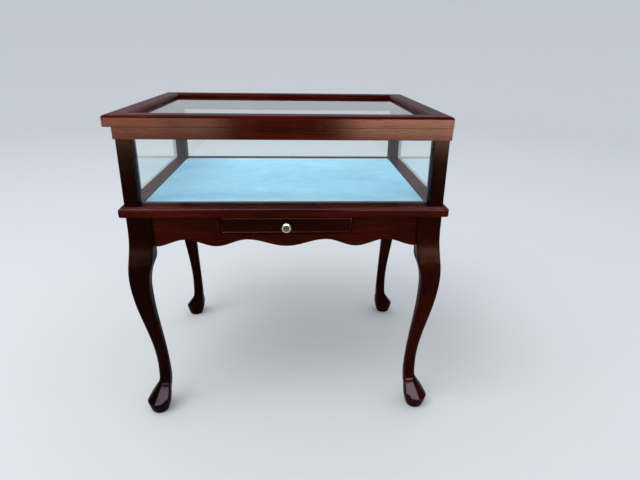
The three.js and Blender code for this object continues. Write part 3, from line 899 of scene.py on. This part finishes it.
@dataclass
class Stand(SubAssembly):
    """The legs, the aprons between them and what carries the drawer."""

    crease_angle: float = 38.0
    crease: float = 0.9
    quad_bend: float = 30.0
    quad_skew: float = 50.0
    smoothing: int = 2
    swell_low: float = 355 * MM
    swell_high: float = 425 * MM
    swell_reach: float = 33 * MM
    swell_strokes: int = 40
    swell_stroke_share: float = 0.5

    def build(self) -> None:
        """Makes every piece of the stand."""
        for corner in CORNERS:
            self.leg(f"leg_{corner}", Stain.DARKEST if "left" in corner else Stain.DEEP)
            self.bare(f"corner_brace_{corner}", Grain.ALONG_X)
        for side, grain in GRAIN_OF_SIDE.items():
            self.lacquered(f"apron_{side}", grain)
        for side in ("left", "right"):
            self.bare(f"drawer_runner_{side}", Grain.ALONG_Y)
        self.bare("drawer_stop", Grain.ALONG_X)

    def leg(self, node: str, stain: Stain) -> None:
        """Rounds a cabriole leg's sawn faces and keeps its crisp edges.

        Args:
            node: The leg's CAD node.
            stain: How dark the leg came out.
        """
        piece = Bench.merged_copy(node)
        bpy.ops.mesh.customdata_custom_splitnormals_clear()
        bpy.ops.object.mode_set(mode="EDIT")
        bpy.ops.mesh.select_all(action="SELECT")
        bend, skew = math.radians(self.quad_bend), math.radians(self.quad_skew)
        bpy.ops.mesh.tris_convert_to_quads(face_threshold=bend, shape_threshold=skew)
        bpy.ops.mesh.select_all(action="DESELECT")
        bpy.ops.mesh.select_mode(type="EDGE")
        bpy.ops.mesh.edges_select_sharp(sharpness=math.radians(self.crease_angle))
        bpy.ops.transform.edge_crease(value=self.crease)
        low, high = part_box(node)
        Bench.pick_places(piece, lambda place: place.z > high.z - self.arris)
        bpy.ops.transform.edge_crease(value=1.0)
        bpy.ops.object.mode_set(mode="OBJECT")
        Bench.modified(piece, "SUBSURF", levels=self.smoothing, render_levels=self.smoothing)
        heel = Vector((high.x if low.x < 0 else low.x, high.y if low.y < 0 else low.y))
        bpy.ops.object.mode_set(mode="EDIT")
        Bench.pick_places(
            piece,
            lambda place: self.swell_low < place.z < self.swell_high
            and max(abs(place.x - heel.x), abs(place.y - heel.y)) > self.swell_reach,
        )
        bpy.ops.mesh.vertices_smooth(factor=self.swell_stroke_share, repeat=self.swell_strokes)
        bpy.ops.object.mode_set(mode="OBJECT")
        Bench.shaded(piece, self.crease_angle)
        self.fit(piece, "mahogany", self.palette.lacquer(Grain.ALONG_Z, stain), node)


@dataclass
class Case(SubAssembly):
    """The table frame, the velvet-covered floor, the posts, the glass and the top rails."""

    velvet_steps: int = 90
    velvet_skin: float = 0.25 * MM
    velvet_crease_angle: float = 60.0
    broad_ripple: Triple = (9.0, 14.0, 0.3)
    fine_ripple: Triple = (40.0, 34.0, 2.1)
    broad_share: float = 0.6
    velvet_rise: float = 0.35 * MM
    velvet_edge: float = 5 * MM
    velvet_wrap: float = 1.2 * MM
    velvet_corner: float = 3 * MM
    velvet_worn_corner: float = 16 * MM

    def build(self) -> None:
        """Makes every piece of the case."""
        for side, grain in GRAIN_OF_SIDE.items():
            self.lacquered(f"table_frame_{side}", grain, Stain.RICH)
            self.lacquered(f"top_rail_{side}", grain, Stain.RICH)
            self.carried_over(f"pane_{side}", self.palette.glass())
        for corner in CORNERS:
            self.lacquered(f"post_{corner}", Grain.ALONG_Z, Stain.DARKEST)
        self.carried_over("display_board", self.palette.board())
        self.velvet("velvet_cover")

    def velvet(self, node: str) -> None:
        """Stretches the velvet over the display board.

        Args:
            node: The velvet's CAD node.
        """
        low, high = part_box(node)
        size = high - low
        middle = (low + high) / 2
        bpy.ops.mesh.primitive_grid_add(
            x_subdivisions=self.velvet_steps, y_subdivisions=self.velvet_steps, size=1, location=(0, 0, 0)
        )
        piece = bpy.context.active_object
        piece.name = "velvet"
        piece.data.transform(Matrix.Diagonal((size.x, size.y, 1, 1)))
        for vertex in piece.data.vertices:
            x, y, _ = vertex.co
            inset = min(size.x / 2 - abs(x), size.y / 2 - abs(y))
            vertex.co.xy = self.in_corner(vertex.co.xy, size)
            fall = max(0.0, 1 - inset / self.velvet_edge)
            broad, fine = (self.ripple(x, y, *waves) for waves in (self.broad_ripple, self.fine_ripple))
            ripple = broad * self.broad_share + fine * (1 - self.broad_share)
            vertex.co.z = ripple * self.velvet_rise * (1 - fall) - self.velvet_wrap * fall * fall
        piece.data.transform(Matrix.Translation((middle.x, middle.y, high.z - self.velvet_rise)))
        Bench.modified(piece, "SOLIDIFY", thickness=self.velvet_skin, offset=-1)
        bpy.ops.object.shade_smooth_by_angle(angle=math.radians(self.velvet_crease_angle))
        self.fit(piece, "ice_velvet", self.palette.velvet(), node)

    @staticmethod
    def ripple(x: float, y: float, across: float, along: float, layer: float) -> float:
        """The height of one ripple, with so many waves to a metre across and along the table."""
        return noise.noise(Vector((x * across, y * along, layer)))

    def in_corner(self, place: Vector, size: Vector) -> Vector:
        """Draws a place near a corner of the velvet in to its round, which is widest at the back left.

        Args:
            place: The place, from the velvet's middle.
            size: The velvet's size.

        Returns:
            The place inside the round.
        """
        radius = self.velvet_worn_corner if place.x < 0 < place.y else self.velvet_corner
        middle = Vector((
            math.copysign(size.x / 2 - radius, place.x),
            math.copysign(size.y / 2 - radius, place.y),
        ))
        out = place - middle
        if out.x * middle.x <= 0 or out.y * middle.y <= 0:
            return place
        return middle + out * (max(abs(out.x), abs(out.y)) / out.length)


@dataclass
class Lid(SubAssembly):
    """The hinged lid's rails, its glass and the stops that hold the glass."""

    def build(self) -> None:
        """Makes every piece that turns with the lid."""
        for side, grain in GRAIN_OF_SIDE.items():
            self.lacquered(f"lid_rail_{side}", grain, Stain.RICH)
            self.lacquered(f"glass_stop_{side}", grain)
        self.carried_over("lid_pane", self.palette.glass())


@dataclass
class HingeHalf(SubAssembly):
    """What one body carries of the two butt hinges: leaves with their screws, and on the case the pins."""

    kind: str = "case_leaf"
    facing: Facing = Facing.BACK
    with_pins: bool = False
    arris: float = 0.2 * MM
    plate: float = 1.5 * MM
    screw_radius: float = 2.7 * MM
    screw_spread: float = 17 * MM
    screw_inset: float = 6 * MM
    screw_depth: float = 1.2 * MM
    screw_play: float = 0.18 * MM
    screw_turn: float = 52.0
    screw_arris: float = 0.1 * MM
    screw_crease_angle: float = 35.0
    rim_share: float = 0.12
    crown_share: float = 0.8
    slot_width: float = 0.8 * MM
    slot_depth: float = 0.6 * MM
    upward: float = 0.9
    sides: int = 16

    def build(self) -> None:
        """Makes this body's half of both hinges."""
        for hand in ("left", "right"):
            self.leaf(f"hinge_{hand}_{self.kind}")
            if self.with_pins:
                pin = f"hinge_{hand}_pin"
                self.fit(Bench.eased(pin, self.arris), "brass", self.palette.brass(), pin)

    def leaf(self, node: str) -> None:
        """Drills one leaf and sets its three screws.

        Args:
            node: The leaf's CAD node.
        """
        piece = Bench.merged_copy(node)
        for number, foot in enumerate(self.screw_places(node), start=1):
            drill = Bench.turned("drill", self.sink(self.screw_play, 2 * self.screw_play), self.sides)
            Bench.drilled(piece, Bench.set_on(drill, foot, self.facing))
            self.screw(f"{node}_screw_{number}", foot, self.screw_turn * number)
        self.fit(Bench.finished(piece, self.arris), "brass", self.palette.brass(), node)

    def screw_places(self, node: str) -> list[Vector]:
        """Finds where the screws' heads lie on the face of a leaf's plate.

        Args:
            node: The leaf's CAD node.

        Returns:
            Three places in a row.
        """
        low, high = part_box(node)
        middle = (low.x + high.x) / 2
        if self.facing is Facing.BACK:
            y, z = low.y + self.plate, low.z + self.screw_inset
        else:
            y, z = low.y + self.screw_inset, high.z - self.plate
        return [Vector((middle + step * self.screw_spread, y, z)) for step in (-1, 0, 1)]

    def sink(self, play: float, proud: float) -> list[Point]:
        """The outline of a countersunk head, with some play round it, that stands so far proud."""
        radius = self.screw_radius + play
        return [(radius - self.screw_depth, -self.screw_depth), (radius, 0.0), (radius, proud)]

    def screw(self, name: str, foot: Vector, turn: float) -> None:
        """Makes one countersunk head and saws its slot.

        Args:
            name: The new piece's name.
            foot: Where the head's flat face lies.
            turn: How far the slot is turned, in degrees.
        """
        radius, eased = self.screw_radius, self.screw_arris
        profile = self.sink(0.0, 0.0)[:1] + [(radius, -eased), (radius - eased, 0.0)]
        piece = Bench.turned(name, profile, self.sides)
        bpy.ops.object.mode_set(mode="EDIT")
        Bench.pick_faces(piece, lambda middle, normal: normal.z > self.upward)
        bpy.ops.mesh.inset(thickness=radius * self.rim_share)
        for side in (-1, 1):
            Bench.pick_faces(piece, self.on_crown)
            bpy.ops.mesh.bisect(plane_co=(0, side * self.slot_width / 2, 0), plane_no=(0, 1, 0))
        Bench.pick_faces(
            piece,
            lambda middle, normal: self.on_crown(middle, normal) and abs(middle.y) < self.slot_width / 2,
        )
        bpy.ops.mesh.extrude_region_move(TRANSFORM_OT_translate={"value": (0, 0, -self.slot_depth)})
        bpy.ops.object.mode_set(mode="OBJECT")
        bpy.ops.object.shade_smooth_by_angle(angle=math.radians(self.screw_crease_angle))
        piece.data.transform(Matrix.Rotation(math.radians(turn), 4, "Z"))
        self.fit(Bench.set_on(piece, foot, self.facing), "brass", self.palette.brass())

    def on_crown(self, middle: Vector, normal: Vector) -> bool:
        """Says whether a face lies on the flat of the head, inside its rim."""
        return normal.z > self.upward and middle.xy.length < self.screw_radius * self.crown_share


@dataclass
class Drawer(SubAssembly):
    """The shallow drawer and its turned knob."""

    knob_radius: float = 9.5 * MM
    knob_reach: float = 19 * MM
    knob_foot: float = 5.5 * MM
    knob_neck: float = 3.4 * MM
    knob_dish: float = 1.1 * MM
    under_radius_share: float = 0.75
    throat_share: float = 0.36
    under_share: float = 0.56
    turn_share: float = 0.62
    widest_share: float = 0.72
    flat_share: float = 0.5
    dish_share: float = 0.2
    rim_steps: int = 9
    knob_crease_angle: float = 40.0
    stem_radius: float = 2 * MM
    stem_length: float = 13 * MM
    sides: int = 72

    def build(self) -> None:
        """Makes every piece that slides with the drawer."""
        self.lacquered("drawer_front", Grain.ALONG_X, Stain.DEEP)
        for side in ("left", "right"):
            self.bare(f"drawer_side_{side}", Grain.ALONG_Y)
        self.bare("drawer_back", Grain.ALONG_X)
        self.bare("drawer_bottom", Grain.ALONG_X)
        self.knob("drawer_knob")

    def knob(self, node: str) -> None:
        """Turns the knob afresh, finer than the CAD node and with the same outline.

        Args:
            node: The knob's CAD node.
        """
        low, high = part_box(node)
        middle = (low + high) / 2
        foot = Vector((middle.x, low.y + self.knob_reach, middle.z))
        piece = Bench.set_on(Bench.turned("knob", self.knob_outline(), self.sides), foot, Facing.FRONT)
        bpy.ops.object.shade_smooth_by_angle(angle=math.radians(self.knob_crease_angle))
        # The dish's middle goes to the brass, which paints shade there.
        dish = Vector((middle.x, low.y + self.knob_dish, middle.z))
        self.fit(piece, "brass", self.palette.brass(tuple(dish)), node)

    def knob_outline(self) -> list[Point]:
        """Draws the knob: stem, foot, neck, swelling head and dished face.

        Returns:
            Its radius and its height, from the stem's end up.
        """
        head, reach, dish = self.knob_radius, self.knob_reach, self.knob_dish
        foot, neck = (self.knob_foot, dish), (self.knob_neck, self.knob_foot)
        under = (head * self.under_radius_share, reach * self.under_share)
        widest = (head, reach * self.widest_share)
        rim, floor = (head * self.flat_share, reach), (0.0, reach - dish)
        return [
            (self.stem_radius, -self.stem_length),
            (self.stem_radius, 0.0),
            (self.knob_foot, 0.0),
            foot,
            *Bench.curve(foot, (self.knob_neck, dish), neck),
            *Bench.curve(neck, (self.knob_neck, reach * self.throat_share), under),
            *Bench.curve(under, (head, reach * self.turn_share), widest),
            *Bench.curve(widest, (head, reach), rim, self.rim_steps),
            *Bench.curve(rim, (head * self.dish_share, reach - dish), floor),
        ]


class LampLight(Enum):
    """The colour of a lamp's light."""

    WHITE = (1.0, 1.0, 1.0)
    PALE_BLUE = (0.82, 1.0, 1.2)
    DEEP_BLUE = (0.52, 1.0, 2.2)


@dataclass(frozen=True)
class Lamp:
    """A rectangular lamp that looks at the middle of the table and that the camera doesn't see."""

    name: str
    place: Place
    size: Pair
    radiance: float
    light: LampLight = LampLight.WHITE
    aim: Place = (0.0, 0.0, 0.5)

    def hang(self) -> bpy.types.Object:
        """Adds the lamp to the studio.

        Returns:
            The lamp's object.
        """
        data = bpy.data.lights.new(self.name, "AREA")
        data.shape = "RECTANGLE"
        width, height = self.size
        data.size, data.size_y = width, height
        data.energy = self.radiance * math.pi * width * height
        data.color = self.light.value
        lamp = bpy.data.objects.new(self.name, data)
        lamp.location = self.place
        ahead = Vector(self.aim) - Vector(self.place)
        lamp.rotation_euler = ahead.to_track_quat("-Z", "Y").to_euler()
        lamp.visible_camera = False
        bpy.context.scene.collection.objects.link(lamp)
        return lamp

    def hang_for(self, pieces: Sequence[str], only_gloss: bool = False) -> None:
        """Adds the lamp so that it lights nothing but some pieces.

        Args:
            pieces: The names of the pieces.
            only_gloss: Whether it only shows in their gloss.
        """
        lamp = self.hang()
        lamp.visible_diffuse = not only_gloss
        lit = bpy.data.collections.new(f"lit_by_{self.name}")
        for piece in pieces:
            lit.objects.link(bpy.data.objects[piece])
        lamp.light_linking.receiver_collection = lit


@dataclass
class Studio:
    """The pale floor and backdrop, the lamps, and the camera, whose angles are in radians."""

    eye: Place = (0.0200515, -1.0889235, 0.743157)
    yaw: float = 0.0533579
    pitch: float = 0.3749239
    roll: float = 0.0138418
    lens: float = 27.2826
    sensor_width: float = 36.0
    paper: Colour = (0.7, 0.71, 0.72)
    paper_clouds: Pattern = Pattern(3, 2)
    paper_roughness: float = 0.9
    cloud_dulls: float = 0.05
    paper_reflectance: float = 0.05
    air: Colour = (0.88, 0.94, 1.0)
    air_strength: float = 0.96
    haze: Colour = (0.55, 0.6, 0.655)
    floor_radius: float = 4.4
    sweep_radius: float = 1.8
    wall_top: float = 2.6
    sweep_steps: int = 8
    turns: int = 96
    seam: float = 0.1 * MM
    key_light: Lamp = Lamp("key_light", place=(-1.3, -1.2, 3.2), size=(2.2, 2.2), radiance=3.2)
    velvet_fill: Lamp = Lamp("velvet_fill", place=(0.8, -2.5, 2.2), size=(2.4, 1.0), radiance=6.6)
    left_strip: Lamp = Lamp(
        "left_strip", place=(-1.4, -3.2, 0.35), size=(1.8, 0.6), radiance=25.0, light=LampLight.PALE_BLUE
    )
    right_strip: Lamp = Lamp(
        "right_strip", place=(1.4, -3.2, 0.35), size=(2.0, 0.6), radiance=52.0, light=LampLight.PALE_BLUE
    )
    middle_card: Lamp = Lamp(
        "middle_card", place=(0.0, -3.2, 0.8), size=(1.8, 0.7), radiance=60.0, light=LampLight.PALE_BLUE
    )
    high_card: Lamp = Lamp(
        "high_card", place=(0.0, -3.2, 1.7), size=(3.6, 0.7), radiance=60.0, light=LampLight.DEEP_BLUE
    )
    top_card: Lamp = Lamp(
        "top_card", place=(0.0, -0.9, 3.0), size=(3.6, 1.2), radiance=30.0, light=LampLight.DEEP_BLUE
    )

    def build(self) -> None:
        """Sets up everything round the table."""
        self.backdrop()
        self.lamps()
        self.world()
        self.camera()

    def backdrop(self) -> None:
        """Spins the floor and the wall round the table as one sweep of pale paper."""
        flat, radius = self.floor_radius, self.sweep_radius
        bend = [math.pi / 2 * step / self.sweep_steps for step in range(self.sweep_steps + 1)]
        outline = [
            (0.0, 0.0),
            *((flat + radius * math.sin(angle), radius * (1 - math.cos(angle))) for angle in bend),
            (flat + radius, self.wall_top),
        ]
        edges = [(start, start + 1) for start in range(len(outline) - 1)]
        mesh = bpy.data.meshes.new("studio_sweep")
        mesh.from_pydata([(out, 0.0, up) for out, up in outline], edges, [])
        sweep = bpy.data.objects.new("studio_sweep", mesh)
        bpy.context.scene.collection.objects.link(sweep)
        Bench.alone(sweep)
        bpy.ops.object.mode_set(mode="EDIT")
        bpy.ops.mesh.select_all(action="SELECT")
        bpy.ops.mesh.spin(steps=self.turns, angle=2 * math.pi, center=(0, 0, 0), axis=(0, 0, 1))
        bpy.ops.mesh.select_all(action="SELECT")
        bpy.ops.mesh.remove_doubles(threshold=self.seam)
        bpy.ops.mesh.normals_make_consistent(inside=True)
        bpy.ops.object.mode_set(mode="OBJECT")
        bpy.ops.object.shade_smooth()
        wiring = Wiring("studio_paper")
        sweep.data.materials.append(wiring.surface(wiring.principled({
            "Base Color": self.paper,
            "Roughness": self.paper_roughness + wiring.noise(self.paper_clouds) * self.cloud_dulls,
            "Specular IOR Level": self.paper_reflectance,
        })))

    def lamps(self) -> None:
        """Hangs the key light, the velvet's fill and the cards that only some pieces' gloss shows."""
        lacquered = [
            piece.name
            for piece in bpy.context.scene.objects
            if any(slot.material.name.startswith(Lacquer.name) for slot in piece.material_slots)
        ]
        self.key_light.hang()
        self.velvet_fill.hang_for(["velvet"])
        for card, pieces in (
            (self.left_strip, lacquered),
            (self.right_strip, lacquered),
            (self.middle_card, ["drawer_front_finished"]),
            (self.high_card, ["leg_front_left_finished", "leg_front_right_finished"]),
            (self.top_card, ["table_frame_front_finished", "knob"]),
        ):
            card.hang_for(pieces, only_gloss=True)

    def world(self) -> None:
        """Lights the whole studio evenly, and shows the wall's own tone above the wall."""
        wiring = Wiring("studio_air", is_world=True)
        air = {"Color": self.air, "Strength": self.air_strength}
        lighting = wiring.node("ShaderNodeBackground", None, air)
        seen = wiring.node("ShaderNodeBackground", None, {"Color": self.haze})
        direct, mirrored, through = (wiring.ray_is(kind) for kind in ("Camera", "Glossy", "Transmission"))
        shown = wiring.mixed(lighting, seen, direct + mirrored + through)
        bpy.context.scene.world = wiring.surface(shown)

    def camera(self) -> None:
        """Puts the camera where the photograph was taken from."""
        ahead = Vector((
            math.sin(self.yaw) * math.cos(self.pitch),
            math.cos(self.yaw) * math.cos(self.pitch),
            -math.sin(self.pitch),
        ))
        level = Vector((math.cos(self.yaw), -math.sin(self.yaw), 0.0))
        upright = level.cross(ahead)
        right = level * math.cos(self.roll) + upright * math.sin(self.roll)
        up = upright * math.cos(self.roll) - level * math.sin(self.roll)
        turn = Matrix((right, up, -ahead)).transposed().to_4x4()
        data = bpy.data.cameras.new("camera")
        data.lens = self.lens
        data.sensor_fit = "HORIZONTAL"
        data.sensor_width = self.sensor_width
        camera = bpy.data.objects.new("camera", data)
        camera.matrix_world = Matrix.Translation(self.eye) @ turn
        bpy.context.scene.collection.objects.link(camera)
        bpy.context.scene.camera = camera


def main() -> None:
    """Builds the table piece by piece, then the studio round it."""
    logging.basicConfig(level=logging.INFO, format="%(message)s")
    bpy.context.scene.view_settings.view_transform = "Standard"
    palette = Palette()
    stand = Stand("table", palette)
    case = Case("table", palette)
    lid = Lid("lid", palette)
    case_hinges = HingeHalf("table", palette, kind="case_leaf", facing=Facing.BACK, with_pins=True)
    lid_hinges = HingeHalf("lid", palette, kind="lid_leaf", facing=Facing.DOWN)
    drawer = Drawer("drawer", palette)
    for assembly in (stand, case, lid, case_hinges, lid_hinges, drawer):
        assembly.build()
    Studio().build()


if __name__ == "__main__":
    main()
